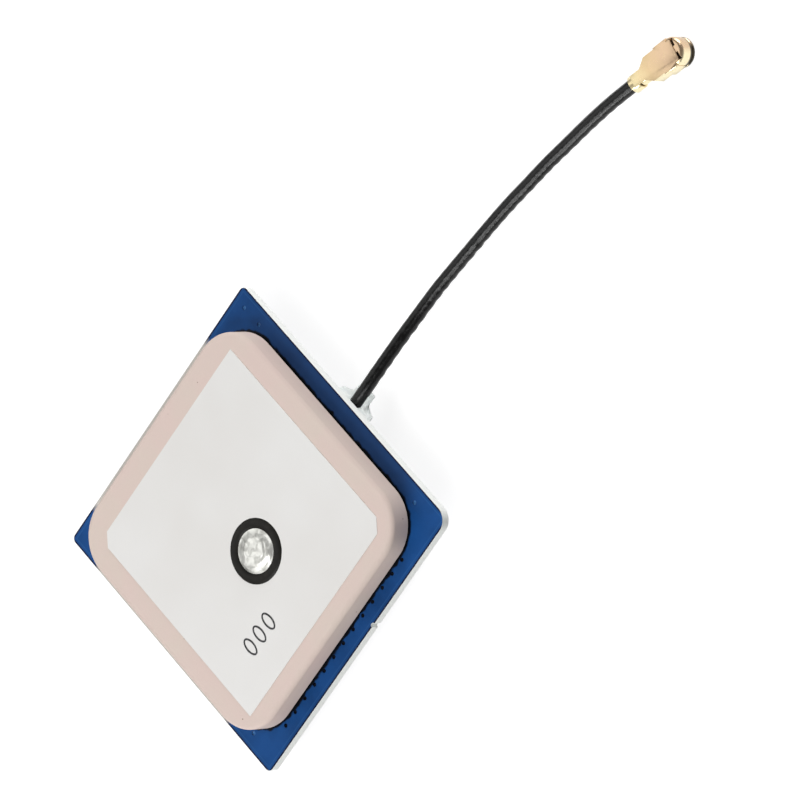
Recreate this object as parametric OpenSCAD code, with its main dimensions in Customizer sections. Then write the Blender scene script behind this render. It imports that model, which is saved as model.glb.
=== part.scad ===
// Active patch antenna for satellite positioning, with its coaxial lead.
// A ceramic block with a printed silver patch is stuck on a small circuit board.
// The board carries a screened amplifier below, and the lead ends in a push-on plug.
// Millimetres. The origin is the middle of the screening can's underside, with +Z up
// and the lead leaving towards +Y.

/* [Ceramic patch] */
// Side of the square ceramic block
ceramic_side = 25; // [23:0.5:25]
// Thickness of the ceramic block
ceramic_t = 2; // [1.5:0.1:6]
// Radius of the block's upright corners
ceramic_corner_r = 3.8; // [2:0.1:5]
// Radius of the block's upper edge
ceramic_edge_r = 0.4; // [0.1:0.05:0.6]
// How far the block sits off the board's middle along X
ceramic_shift_x = -0.1; // [-0.3:0.05:0.3]
// How far the block sits off the board's middle along Y
ceramic_shift_y = -0.2; // [-0.3:0.05:0.3]
// Side of the square silver patch on top
patch_side = 21; // [18:0.25:22]
// Leg of the two trimmed patch corners
patch_trim = 0.95; // [0.3:0.05:2]
// How far the patch is printed off the block's middle along X
patch_shift_x = 0.35; // [-0.5:0.05:0.5]
// How far the patch is printed off the block's middle along Y
patch_shift_y = 0.15; // [-0.5:0.05:0.5]
// Thickness of the fired silver, on both faces
silver_t = 0.04; // [0.02:0.01:0.08]
// Margin of bare ceramic round the silver on the underside
ground_margin = 0.5; // [0.2:0.1:2]
// Thickness of the adhesive pad between the block and the board
adhesive_t = 0.15; // [0.1:0.05:0.5]
// Margin of the adhesive pad inside the silver below the block
adhesive_margin = 0.4; // [0.2:0.1:2]

/* [Feed pin] */
// Distance of the feed from the patch's middle along X
feed_reach = 2.2; // [1:0.1:4]
// Diameter of the feed pin's shank
pin_d = 0.8; // [0.6:0.05:1]
// Diameter of the feed pin's flat head
pin_head_d = 2; // [1.6:0.1:2.6]
// Thickness of the feed pin's head
pin_head_t = 0.25; // [0.15:0.05:0.4]
// Length of the pin that stands out below the board
pin_tail = 0.9; // [0.6:0.1:1.4]
// Gap round the pin's shank in every hole that it passes
pin_gap = 0.15; // [0.05:0.05:0.25]
// Radius of the bare ring round the pin in the silver below the block
ground_gap = 1.1; // [0.8:0.1:2]
// Outer diameter of the solder stop ring on the patch
ring_outer_d = 5.4; // [5:0.1:6.5]
// Inner diameter of the solder stop ring, which is also the solder's diameter
ring_inner_d = 3.7; // [3.2:0.1:4.4]
// Height of the solder stop ring
ring_t = 0.12; // [0.05:0.01:0.2]
// Thickness of the solder over the pin's head
solder_cover = 0.12; // [0.05:0.01:0.25]
// Diameter of the solder cone round the pin's tail
tail_solder_d = 1.9; // [1.5:0.1:2.6]

/* [Circuit board] */
// Side of the square board
board_side = 28; // [27:0.25:32]
// Thickness of the board
board_t = 0.8; // [0.6:0.1:1.6]
// Radius of three of the board's corners
board_corner_r = 0.5; // [0.2:0.1:1.2]
// Radius of the corner at +X +Y, which is rubbed rounder
worn_corner_r = 1.3; // [0.4:0.1:2]
// Radius of the small chip out of the board's +X edge
chip_out_r = 0.22; // [0.1:0.02:0.4]
// Place of that chip along Y
chip_out_y = 2.4; // [0:0.1:4]
// Diameter of the plated stitching holes
via_d = 0.36; // [0.2:0.02:0.4]
// Spacing of the stitching holes
via_pitch = 1.524; // [1.27:0.127:2.54]
// Distance of the stitching holes from the board's edge
via_edge = 1.3; // [0.8:0.05:1.3]
// Number of stitching holes in each long row
via_count = 13; // [5:1:13]

/* [Screening can] */
// Side of the square can
can_side = 22; // [20:0.5:22.5]
// Height of the can
can_h = 2.5; // [2.2:0.1:4]
// Thickness of the tinplate
can_t = 0.2; // [0.15:0.05:0.3]
// Outer radius of the can's upright corners
can_corner_r = 1; // [0.6:0.1:2]
// Outer radius of the bend round the can's floor
can_bend_r = 0.4; // [0.3:0.05:0.6]
// Leg of the solder fillets that hold the can
fillet_leg = 0.5; // [0.3:0.05:0.7]
// Length of each solder fillet
fillet_len = 2.4; // [1:0.1:4]
// Distance of each solder fillet from the middle of its side
fillet_place = 6; // [3:0.1:7]

/* [Amplifier] */
// Step of the grid on which the parts are placed
grid_step = 0.2; // [0.19:0.01:0.21]
// Side of the square filter package
filter_side = 3; // [2:0.1:3.8]
// Height of the filter package
filter_h = 1.1; // [0.8:0.1:1.3]
// Length of an amplifier package
amp_l = 2; // [1.6:0.1:2.2]
// Width of an amplifier package's body
amp_w = 1.25; // [1:0.05:1.4]
// Height of an amplifier package
amp_h = 0.9; // [0.6:0.1:1.1]
// Width across an amplifier package's leads
amp_span = 2.1; // [1.8:0.1:2.4]
// Width of one lead
lead_w = 0.22; // [0.15:0.01:0.28]
// Thickness of one lead
lead_t = 0.13; // [0.1:0.01:0.18]
// Spacing of the leads
lead_pitch = 0.65; // [0.5:0.05:0.65]
// Length of a chip part
chip_l = 1; // [0.8:0.1:1.2]
// Width of a chip part
chip_w = 0.5; // [0.4:0.05:0.6]
// Height of a chip capacitor
capacitor_h = 0.5; // [0.3:0.05:0.6]
// Height of a chip inductor
inductor_h = 0.45; // [0.3:0.05:0.6]
// Height of a chip resistor
resistor_h = 0.3; // [0.2:0.05:0.5]
// Length of a chip part's metal end
chip_end = 0.25; // [0.15:0.01:0.3]
// Thickness of that metal end over the body
chip_plate = 0.02; // [0.01:0.01:0.04]

/* [Coaxial lead] */
// Diameter over the jacket
cable_d = 1.13; // [1:0.01:1.2]
// Diameter over the braid
braid_d = 0.9; // [0.8:0.01:0.95]
// Diameter of the dielectric
dielectric_d = 0.66; // [0.5:0.01:0.7]
// Diameter of the inner conductor
core_d = 0.24; // [0.2:0.01:0.3]
// Depth of the lead's axis below the board where it is soldered
cable_sink = 0.6; // [0.6:0.01:0.65]
// Gap between the end of the braid and the can
braid_gap = 0.15; // [0.05:0.05:0.4]
// Length of bare dielectric at the can
dielectric_strip = 1; // [0.6:0.1:1.6]
// Length of bare inner conductor in the can
core_strip = 1.1; // [1:0.1:1.6]
// Width of the notch in the can for the lead
notch_w = 1.2; // [1:0.05:1.6]
// Radius of the solder that holds the braid
braid_solder_r = 0.6; // [0.5:0.02:0.6]
// Radius of the solder that holds the inner conductor
core_solder_r = 0.45; // [0.35:0.02:0.48]
// How far the glue runs out along the lead past the board's edge
glue_reach = 1.25; // [0.9:0.05:1.4]
// Width of the glue along the board's edge
glue_w = 3.8; // [3.6:0.1:5]
// Width of the glue's root under the board
glue_root = 0.5; // [0.3:0.05:0.8]
// Gap between the glue and the jacket
glue_gap = 0.01; // [0:0.01:0.05]

/* [Plug] */
// Height of the plug
plug_h = 1.6; // [1.55:0.05:1.9]
// Thickness of the plug's sheet metal
plug_t = 0.15; // [0.1:0.01:0.18]
// Width of the lid over its front wings
plug_w = 2.55; // [2.5:0.05:3]
// Width of the lid over its rear wings
plug_rear_w = 2.2; // [2:0.05:2.3]
// Distance from the socket's middle back to the end of the jacket
plug_reach = 4; // [4:0.1:5]
// Outer diameter of the socket
socket_d = 2.44; // [2.38:0.02:2.5]
// Inner diameter of the socket at its snap bead
snap_d = 2; // [1.96:0.01:2.04]
// Radius of the snap bead's section
bead_r = 0.1; // [0.08:0.01:0.12]
// Height of the snap bead above the socket's mouth
bead_h = 0.3; // [0.2:0.05:0.4]
// Depth of the groove outside the snap bead
groove_depth = 0.05; // [0.02:0.01:0.08]
// Outer radius of the bend over the socket's front
nose_bend_r = 0.35; // [0.2:0.05:0.5]
// Distance of the two slots ahead of the socket's middle
slot_x = 0.44; // [0.3:0.02:0.6]
// Width of the slots
slot_w = 0.24; // [0.12:0.02:0.26]
// Length of the front wings
front_wing_l = 1.25; // [0.9:0.05:1.3]
// Length of the rear wings
rear_wing_l = 1.15; // [0.8:0.05:1.2]
// Gap between the front and the rear wings
wing_gap = 0.1; // [0.05:0.05:0.2]
// Height of the wings' lower edge
wing_z = 0.35; // [0.25:0.05:0.6]
// Wall of both crimp barrels
crimp_wall = 0.15; // [0.12:0.01:0.2]
// Length of the crimp on the jacket
jacket_crimp_l = 0.8; // [0.6:0.05:1]
// Length of the crimp on the braid
braid_crimp_l = 0.9; // [0.6:0.05:0.95]
// Gap round the lead in the crimp barrels and round the plug's inner pieces
plug_fit = 0.02; // [0.01:0.01:0.03]
// Outer diameter of the centre contact
contact_d = 0.76; // [0.7:0.01:0.8]
// Inner diameter of the centre contact
contact_bore_d = 0.5; // [0.46:0.01:0.54]

/* [Hidden] */
$fn = 64;

// Heights of the stack
board_z = can_h;
adhesive_z = board_z + board_t;
ground_z = adhesive_z + adhesive_t;
block_z = ground_z + silver_t;
patch_z = block_z + ceramic_t;
pad_z = patch_z + silver_t;

// Places in plan
block_at = [ceramic_shift_x, ceramic_shift_y];
patch_at = block_at + [patch_shift_x, patch_shift_y];
feed_at = patch_at + [feed_reach, 0];
pin_hole_r = pin_d / 2 + pin_gap;
cut = 1;

// The lead's route: along X and Y, then how much of the way up to the board
// and how much of the way up to the plug its axis lies above its rest on the ground.
rest_z = cable_d / 2 + 0.005;
soldered_z = board_z - cable_sink;
plug_axis_z = plug_h - crimp_wall - plug_fit - cable_d / 2;
route = [
    [0.2, 12.4, 1, 0], [0.2, 15.4, 1, 0], [0, 18, 0.75, 0], [-0.2, 20.5, 0.45, 0],
    [-0.35, 23, 0.15, 0], [-0.35, 25.5, 0.02, 0], [-0.15, 28, 0, 0], [0.1, 30.5, 0, 0],
    [0.35, 33, 0, 0], [0.65, 35.5, 0, 0], [1.05, 38, 0, 0], [1.45, 40.5, 0, 0],
    [1.95, 43, 0, 0.03], [2.47, 45.47, 0, 0.25], [3.1, 47.89, 0, 0.75], [3.77, 50.12, 0, 1],
    [4.22, 51.555, 0, 1]
];
path = [for (p = route)
    [p.x, p.y, rest_z + p[2] * (soldered_z - rest_z) + p[3] * (plug_axis_z - rest_z)]];
path_end = len(path) - 1;
cable_sides = 8;
cable_x = path[0].x;
jacket_y = path[0].y;
can_wall_y = can_side / 2;
braid_end_y = can_wall_y + braid_gap;
dielectric_end_y = braid_end_y - dielectric_strip;
core_end_y = dielectric_end_y - core_strip;

// The plug's own frame: X forward along the lead, the socket's middle at the origin
plug_turn = atan2(path[path_end].y - path[path_end - 1].y, path[path_end].x - path[path_end - 1].x);
plug_at = [path[path_end].x, path[path_end].y] + plug_reach * [cos(plug_turn), sin(plug_turn)];
lid_z = plug_h - plug_t;
cup_wall_r = socket_d / 2 - plug_t;
crown_z = lid_z - plug_t;
front_wing_x = 0.04;
rear_wing_x = front_wing_x - front_wing_l - wing_gap;
insulator_back_x = rear_wing_x - rear_wing_l;
neck_x = insulator_back_x - 0.35;
jacket_crimp_x = 0.05 - plug_reach;
braid_crimp_x = neck_x - 0.1;
tail_x = -0.9;
contact_top_z = plug_axis_z + 0.12;
disc_z = plug_axis_z + 0.035;

function unit(v) = v / norm(v);

// Parts of the outline

module corner_cut(side, r) {
    translate([side / 2 - r, side / 2 - r]) difference() {
        square(r + cut);
        circle(r);
    }
}

module round_square(side, r, first_r) {
    difference() {
        square(side, center = true);
        for (turn = [0:3]) rotate(90 * turn) corner_cut(side, turn == 0 ? first_r : r);
    }
}

// Half section of a block whose upper edge is rounded
module edge_profile(reach, height, edge_r) {
    difference() {
        square([reach, height]);
        translate([reach - edge_r, height - edge_r]) difference() {
            square(edge_r + cut);
            circle(edge_r);
        }
    }
}

// A square block standing on its lower face, with round corners and a round upper edge
module soft_block(side, height, corner_r, edge_r) {
    flat = side / 2 - corner_r;
    translate([-flat, -flat, 0]) cube([2 * flat, 2 * flat, height]);
    for (turn = [0:90:270]) rotate(turn) translate([flat, flat, 0]) {
        rotate_extrude(angle = 90) edge_profile(corner_r, height, edge_r);
        rotate([90, 0, 0]) linear_extrude(2 * flat) edge_profile(corner_r, height, edge_r);
    }
}

module at_feed(z) {
    translate([feed_at.x, feed_at.y, z]) children();
}

module pin_passage(z, height) {
    at_feed(z - cut) cylinder(h = height + 2 * cut, r = pin_hole_r);
}

// The ceramic block and its silver

module ceramic_block() {
    color("#dcc9be") difference() {
        translate([block_at.x, block_at.y, block_z])
            soft_block(ceramic_side, ceramic_t, ceramic_corner_r, ceramic_edge_r);
        pin_passage(block_z, ceramic_t);
    }
}

module patch_electrode() {
    half = patch_side / 2;
    color("#e4e3e0") difference() {
        translate([patch_at.x, patch_at.y, patch_z]) linear_extrude(silver_t) polygon([
            [-half + patch_trim, -half], [half, -half], [half, half - patch_trim],
            [half - patch_trim, half], [-half, half], [-half, -half + patch_trim]
        ]);
        pin_passage(patch_z, silver_t);
    }
}

module ground_electrode() {
    side = ceramic_side - 2 * ground_margin;
    r = ceramic_corner_r - ground_margin;
    color("#d8d6d2") translate([0, 0, ground_z]) linear_extrude(silver_t) difference() {
        translate(block_at) round_square(side, r, r);
        translate(feed_at) circle(ground_gap);
    }
}

module adhesive_pad() {
    inset = ground_margin + adhesive_margin;
    r = ceramic_corner_r - inset;
    color("#c9c4b4") translate([0, 0, adhesive_z]) linear_extrude(adhesive_t) difference() {
        translate(block_at) round_square(ceramic_side - 2 * inset, r, r);
        translate(feed_at) circle(ground_gap);
    }
}

// A raised ring of black varnish that keeps the solder on the pin
module solder_stop_ring() {
    ring_w = (ring_outer_d - ring_inner_d) / 2;
    arc_r = (ring_w * ring_w / 4 + ring_t * ring_t) / (2 * ring_t);
    color("#242320") at_feed(pad_z) rotate_extrude($fn = 96) intersection() {
        translate([ring_inner_d / 2, 0]) square([ring_w, ring_t + cut]);
        translate([ring_inner_d / 2 + ring_w / 2, ring_t - arc_r]) circle(arc_r, $fn = 256);
    }
}

module feed_pin() {
    color("#c8c4ba") {
        at_feed(pad_z) cylinder(h = pin_head_t, d = pin_head_d);
        at_feed(board_z - pin_tail) cylinder(h = pad_z - board_z + pin_tail + pin_head_t / 2, d = pin_d);
    }
}

// Solder that covers the pin's head and thins out to the ring
module pin_solder_top() {
    crown = pin_head_t + solder_cover;
    head_r = pin_head_d / 2;
    rim_r = ring_inner_d / 2;
    color("#d9d9d4") difference() {
        at_feed(pad_z) rotate_extrude($fn = 96) polygon(concat(
            [[0, 0], [rim_r, 0], [rim_r, 0.03]],
            [for (k = [1:6]) let (s = k / 6)
                [rim_r - s * (rim_r - head_r), 0.03 + (crown - 0.09) * s * s * (3 - 2 * s) + 0.01 * s]],
            [[head_r * 0.6, crown - 0.02], [0, crown]]
        ));
        at_feed(pad_z - cut) cylinder(h = pin_head_t + cut, d = pin_head_d);
    }
}

module pin_solder_tail() {
    base_r = tail_solder_d / 2;
    height = pin_tail - 0.1;
    tip_r = pin_d / 2 + 0.06;
    color("#cfcfca") difference() {
        at_feed(board_z) mirror([0, 0, 1]) rotate_extrude() polygon(concat(
            [[0, 0]],
            [for (k = [0:6]) let (s = k / 6) [tip_r + (base_r - tip_r) * (1 - s) * (1 - s), s * height]],
            [[0, height]]
        ));
        at_feed(board_z - height - cut) cylinder(h = height + 2 * cut, d = pin_d);
    }
}

// The circuit board

module stitching_holes() {
    row_x = board_side / 2 - via_edge;
    first_y = 5.5 * via_pitch;
    for (side = [-1, 1]) {
        for (k = [0:via_count - 1]) translate([side * row_x, first_y - k * via_pitch]) circle(d = via_d);
        for (x = [-7, 7]) translate([x * via_pitch, side * row_x]) circle(d = via_d);
    }
    translate([-row_x, row_x]) circle(d = via_d);
}

module circuit_board() {
    color("#1b4a86") translate([0, 0, board_z]) linear_extrude(board_t) difference() {
        round_square(board_side, board_corner_r, worn_corner_r);
        stitching_holes();
        translate(feed_at) circle(pin_hole_r);
        translate([board_side / 2, chip_out_y]) circle(chip_out_r);
    }
}

// The screening can, open towards the board

module shield_can() {
    color("#c3c6c8") difference() {
        translate([0, 0, can_h]) mirror([0, 0, 1]) soft_block(can_side, can_h, can_corner_r, can_bend_r);
        translate([0, 0, can_h]) mirror([0, 0, 1]) translate([0, 0, -cut])
            soft_block(can_side - 2 * can_t, can_h - can_t + cut, can_corner_r - can_t, can_bend_r - can_t);
        translate([cable_x, can_wall_y - can_corner_r, soldered_z]) rotate([-90, 0, 0])
            cylinder(h = can_corner_r + cut, d = notch_w);
        translate([cable_x - notch_w / 2, can_wall_y - can_corner_r, soldered_z])
            cube([notch_w, can_corner_r + cut, cable_sink + cut]);
    }
}

// Solder fillets in the corner between the can's walls and the board
module can_solder() {
    tip = fillet_leg / 10;
    color("#cfcfca") for (turn = [0:90:270], place = [-1, 1])
        rotate(turn) translate([can_side / 2, place * fillet_place + fillet_len / 2, board_z])
            rotate([90, 0, 0]) linear_extrude(fillet_len) difference() {
                translate([0, -fillet_leg]) square(fillet_leg);
                translate([fillet_leg, -fillet_leg]) circle(fillet_leg - tip, $fn = 160);
            }
}

// The amplifier inside the can, all on the board's underside

// The place is counted in steps of the grid
module below_board(x, y, turn = 0) {
    translate([x * grid_step, y * grid_step, board_z]) rotate(turn) mirror([0, 0, 1]) children();
}

module band_filter() {
    lid_t = 0.15;
    lid_margin = 0.15;
    color("#b8a77a") below_board(16, 23) {
        translate([-filter_side / 2, -filter_side / 2, 0]) cube([filter_side, filter_side, filter_h - lid_t]);
        translate([0, 0, filter_h - lid_t]) linear_extrude(lid_t)
            square(filter_side - 2 * lid_margin, center = true);
    }
}

// A small package with three leads on each side
module amplifier_package() {
    stand = 0.05;
    lead_root = amp_h * 0.45;
    translate([-amp_l / 2, -amp_w / 2, stand]) cube([amp_l, amp_w, amp_h - stand]);
    for (turn = [0, 180], k = [-1:1]) rotate(turn) translate([k * lead_pitch - lead_w / 2, 0, 0]) {
        translate([0, amp_w / 2 - lead_t, lead_root]) cube([lead_w, lead_t * 2.2, lead_t]);
        translate([0, amp_w / 2 + lead_t * 0.2, 0]) cube([lead_w, lead_t, lead_root + lead_t]);
        translate([0, amp_w / 2 + lead_t * 0.2, 0])
            cube([lead_w, (amp_span - amp_w) / 2 - lead_t * 0.2, lead_t]);
    }
}

module first_amplifier() {
    color("#2a2a2c") below_board(-7, 6, 90) amplifier_package();
}

module second_amplifier() {
    color("#2a2a2c") below_board(-11, 31) amplifier_package();
}

module chip_part(height) {
    translate([-chip_l / 2, -chip_w / 2, chip_plate]) cube([chip_l, chip_w, height]);
    for (side = [-1, 1]) translate([side * (chip_l - chip_end) / 2, 0, 0]) linear_extrude(height + 2 * chip_plate)
        square([chip_end + 2 * chip_plate, chip_w + 2 * chip_plate], center = true);
}

module chip_capacitors() {
    color("#b09268") for (p = [[2, 6, 0], [4, 37, 90], [-23, 31, 90], [-22, 3, 90], [-31, 17, 0], [-31, -8, 0]])
        below_board(p.x, p.y, p.z) chip_part(capacitor_h);
}

module chip_inductors() {
    color("#3f5c4a") for (p = [[3, 18, 90], [-1, 41, 0], [-22, 17, 0]])
        below_board(p.x, p.y, p.z) chip_part(inductor_h);
}

module chip_resistors() {
    color("#2b2b2b") for (p = [[-12, 18, 0], [-31, 4, 0]])
        below_board(p.x, p.y, p.z) chip_part(resistor_h);
}

// The coaxial lead

function heading(i) = unit(path[min(i + 1, path_end)] - path[max(i - 1, 0)]);
function across(i) = unit(cross(heading(i), [0, 0, 1]));
function ring_point(i, k, r) = let (a = 360 * k / cable_sides)
    path[i] + r * (cos(a) * across(i) + sin(a) * cross(across(i), heading(i)));

module cable_tube(r) {
    n = cable_sides;
    polyhedron(
        points = [for (i = [0:path_end], k = [0:n - 1]) ring_point(i, k, r)],
        faces = concat(
            [[for (k = [0:n - 1]) k]],
            [for (i = [0:path_end - 1], k = [0:n - 1]) let (a = i * n + k, b = i * n + (k + 1) % n)
                [a, a + n, b + n, b]],
            [[for (k = [n - 1:-1:0]) path_end * n + k]]
        )
    );
}

// A round rod along Y from one place to another, on the axis of the soldered lead
module rod_at_board(d, from_y, to_y) {
    translate([cable_x, from_y, soldered_z]) rotate([-90, 0, 0]) cylinder(h = to_y - from_y, d = d);
}

// The same in the plug, along the plug's X
module rod_in_plug(d, from_x, to_x) {
    translate([from_x, 0, plug_axis_z]) rotate([0, 90, 0]) cylinder(h = to_x - from_x, d = d);
}

module at_plug() {
    translate([plug_at.x, plug_at.y, 0]) rotate(plug_turn) children();
}

module cable_jacket() {
    color("#1c1c1d") cable_tube(cable_d / 2);
}

module cable_braid() {
    color("#a9a59b") {
        rod_at_board(braid_d, braid_end_y, jacket_y);
        at_plug() rod_in_plug(braid_d, -plug_reach + plug_fit, braid_crimp_x);
    }
}

module cable_dielectric() {
    color("#e8e6e0") {
        rod_at_board(dielectric_d, dielectric_end_y, braid_end_y);
        at_plug() rod_in_plug(dielectric_d, braid_crimp_x, insulator_back_x);
    }
}

module cable_core() {
    color("#d0cdc4") {
        rod_at_board(core_d, core_end_y, dielectric_end_y);
        at_plug() rod_in_plug(core_d, insulator_back_x, tail_x);
    }
}

// A drop of solder that hangs from the board round a rod
module solder_drop(r, y, rod_d) {
    straight = cable_sink - 0.25;
    difference() {
        translate([cable_x, y, board_z - straight]) {
            cylinder(h = straight, r = r);
            sphere(r);
        }
        rod_at_board(rod_d, y - r - cut, y + r + cut);
        translate([cable_x - r - cut, y - r - cut, board_z]) cube([2 * (r + cut), 2 * (r + cut), r + cut]);
    }
}

module braid_solder() {
    color("#cfcfca") solder_drop(braid_solder_r, (braid_end_y + jacket_y) / 2, braid_d);
}

module core_solder() {
    color("#cfcfca") solder_drop(core_solder_r, (core_end_y + dielectric_end_y) / 2, core_d);
}

// Clear glue below and beside the lead where it passes the board's edge. It leaves the
// lead's upper side free and thins out to both sides in a hollow curve.
module glue_bead() {
    edge_y = board_side / 2;
    bore_r = cable_d / 2 + glue_gap;
    foot_z = soldered_z - bore_r - 0.22;
    web_z = soldered_z + 0.12;
    web_t = 0.45;
    collar_half = bore_r + 0.14;
    hollow_r = glue_reach - 0.1;
    color("#dfe3df") difference() {
        translate([cable_x, edge_y, 0]) {
            translate([-glue_w / 2, -glue_root, web_z - web_t]) cube([glue_w, glue_root, board_z - web_z + web_t]);
            translate([-collar_half, -glue_root, foot_z])
                cube([2 * collar_half, glue_root + glue_reach, web_z - foot_z]);
            translate([0, 0, web_z - web_t]) linear_extrude(web_t) difference() {
                translate([-glue_w / 2, 0]) square([glue_w, glue_reach]);
                for (side = [-1, 1]) translate([side * glue_w / 2, glue_reach]) circle(hollow_r);
            }
        }
        rod_at_board(2 * bore_r, edge_y - glue_root - cut, edge_y + glue_reach + cut);
        translate([cable_x - bore_r, edge_y - glue_root - cut, soldered_z])
            cube([2 * bore_r, glue_root + glue_reach + 2 * cut, cable_sink + cut]);
    }
}

// The plug, in its own frame

// Section of the lid and a pair of wings, looking along the lead
module wing_section(width) {
    bend_r = 0.25;
    difference() {
        translate([0, wing_z]) intersection() {
            translate([-width / 2, 0]) square([width, plug_h - wing_z]);
            union() {
                translate([-width / 2, 0]) square([width, plug_h - wing_z - bend_r]);
                translate([-width / 2 + bend_r, 0]) square([width - 2 * bend_r, plug_h - wing_z]);
                for (side = [-1, 1]) translate([side * (width / 2 - bend_r), plug_h - wing_z - bend_r])
                    circle(bend_r);
            }
        }
        translate([-width / 2 + plug_t, wing_z - cut]) square([width - 2 * plug_t, lid_z - wing_z + cut]);
    }
}

module wing_pair(width, from_x, length) {
    translate([from_x, 0, 0]) rotate([90, 0, 90]) linear_extrude(length) wing_section(width);
}

module lid() {
    rear_half = plug_rear_w / 2 - 0.02;
    front_half = plug_w / 2 - 0.1;
    strip_half = 0.5;
    taper_x = neck_x - 0.45;
    translate([0, 0, lid_z]) linear_extrude(plug_t) {
        translate([rear_wing_x, -front_half]) square([front_wing_x - rear_wing_x, 2 * front_half]);
        polygon([
            [rear_wing_x + wing_gap, -rear_half], [insulator_back_x, -rear_half],
            [taper_x, -strip_half], [jacket_crimp_x - jacket_crimp_l / 2, -strip_half],
            [jacket_crimp_x - jacket_crimp_l / 2, strip_half], [taper_x, strip_half],
            [insulator_back_x, rear_half], [rear_wing_x + wing_gap, rear_half]
        ]);
    }
}

// Half section of the socket up to a given height, with the snap bead at its mouth
module socket_section(top_z, bend_r) {
    difference() {
        edge_profile(socket_d / 2, top_z, bend_r);
        translate([-cut, -cut]) square([cup_wall_r + cut, crown_z + cut]);
        translate([socket_d / 2 + bead_r - groove_depth, bead_h]) circle(bead_r, $fn = 32);
    }
    intersection() {
        translate([snap_d / 2 + bead_r, bead_h]) circle(bead_r, $fn = 32);
        square([socket_d / 2 - groove_depth, lid_z]);
    }
}

// The socket: its front half bends over into the lid, its rear half ends below the lid
module socket_cup() {
    difference() {
        union() {
            rotate(-90) rotate_extrude(angle = 180, $fn = 96) socket_section(plug_h, nose_bend_r);
            rotate(90) rotate_extrude(angle = 180, $fn = 96) socket_section(lid_z, plug_t / 2);
        }
        translate([-socket_d, -0.55, -cut]) cube([socket_d - 0.5, 1.1, crown_z + cut]);
    }
}

module crimp_barrel(inner_d, from_x, length) {
    difference() {
        rod_in_plug(inner_d + 2 * crimp_wall, from_x, from_x + length);
        rod_in_plug(inner_d, from_x - cut, from_x + length + cut);
        translate([from_x - cut, -0.04, plug_axis_z - inner_d / 2 - crimp_wall - cut])
            cube([length + 2 * cut, 0.08, inner_d / 2 + crimp_wall + cut]);
    }
}

module plug_shell() {
    jacket_bore = cable_d + 2 * plug_fit;
    braid_bore = braid_d + 2 * plug_fit;
    crease = 0.05;
    color("#e3c28f") at_plug() {
        difference() {
            socket_cup();
            for (side = [-1, 1]) translate([slot_x, side * 0.6 - 0.32, crown_z - plug_fit])
                cube([slot_w, 0.64, 2 * plug_t + cut]);
            translate([slot_x, -0.3, plug_h - crease]) cube([slot_w, 0.6, cut]);
        }
        wing_pair(plug_w, front_wing_x - front_wing_l, front_wing_l);
        wing_pair(plug_rear_w, insulator_back_x, rear_wing_l);
        difference() {
            union() {
                lid();
                crimp_barrel(jacket_bore, jacket_crimp_x - jacket_crimp_l, jacket_crimp_l);
                crimp_barrel(braid_bore, braid_crimp_x - braid_crimp_l, braid_crimp_l);
            }
            rod_in_plug(jacket_bore, -plug_reach - 2, -plug_reach + plug_fit);
        }
    }
}

module plug_insulator() {
    block_half = plug_rear_w / 2 - plug_t - plug_fit;
    block_front_x = -socket_d / 2 - plug_fit;
    disc_r = cup_wall_r - plug_fit;
    color("#26262a") at_plug() difference() {
        union() {
            translate([0, 0, disc_z]) cylinder(h = crown_z - disc_z, r = disc_r);
            translate([block_front_x, -0.5, disc_z]) cube([-block_front_x - 0.5, 1, crown_z - disc_z - plug_fit]);
            translate([insulator_back_x, -block_half, wing_z + 0.1])
                cube([block_front_x - insulator_back_x, 2 * block_half, lid_z - wing_z - 0.1]);
        }
        rod_in_plug(core_d + 2 * plug_fit, insulator_back_x - cut, tail_x);
        translate([0, 0, disc_z - cut]) cylinder(h = cut + contact_top_z - disc_z, d = contact_d + 2 * plug_fit);
        translate([tail_x - plug_fit, -0.17, disc_z - cut]) cube([-tail_x, 0.34, cut + contact_top_z - disc_z]);
    }
}

// A split tube that takes the receptacle's centre pin, with a tail back to the inner conductor
module plug_contact() {
    mouth_z = 0.3;
    roof = 0.12;
    color("#e6c896") at_plug() {
        difference() {
            translate([0, 0, mouth_z]) cylinder(h = contact_top_z - mouth_z, d = contact_d);
            translate([0, 0, mouth_z - cut]) cylinder(h = contact_top_z - mouth_z - roof + cut, d = contact_bore_d);
            translate([-0.05, -contact_d, mouth_z - cut]) cube([0.1, 2 * contact_d, cut + 0.5]);
        }
        translate([tail_x, -0.15, plug_axis_z - 0.12])
            cube([-tail_x - contact_bore_d / 2 - 0.02, 0.3, contact_top_z - plug_axis_z + 0.12]);
    }
}

ceramic_block();
patch_electrode();
ground_electrode();
solder_stop_ring();
feed_pin();
pin_solder_top();
pin_solder_tail();
adhesive_pad();
circuit_board();
shield_can();
can_solder();
band_filter();
first_amplifier();
second_amplifier();
chip_capacitors();
chip_inductors();
chip_resistors();
cable_jacket();
cable_braid();
cable_dielectric();
cable_core();
braid_solder();
core_solder();
glue_bead();
plug_shell();
plug_insulator();
plug_contact();
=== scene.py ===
import bmesh
import bpy
import math
from mathutils import Matrix, Vector, geometry, noise


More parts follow.
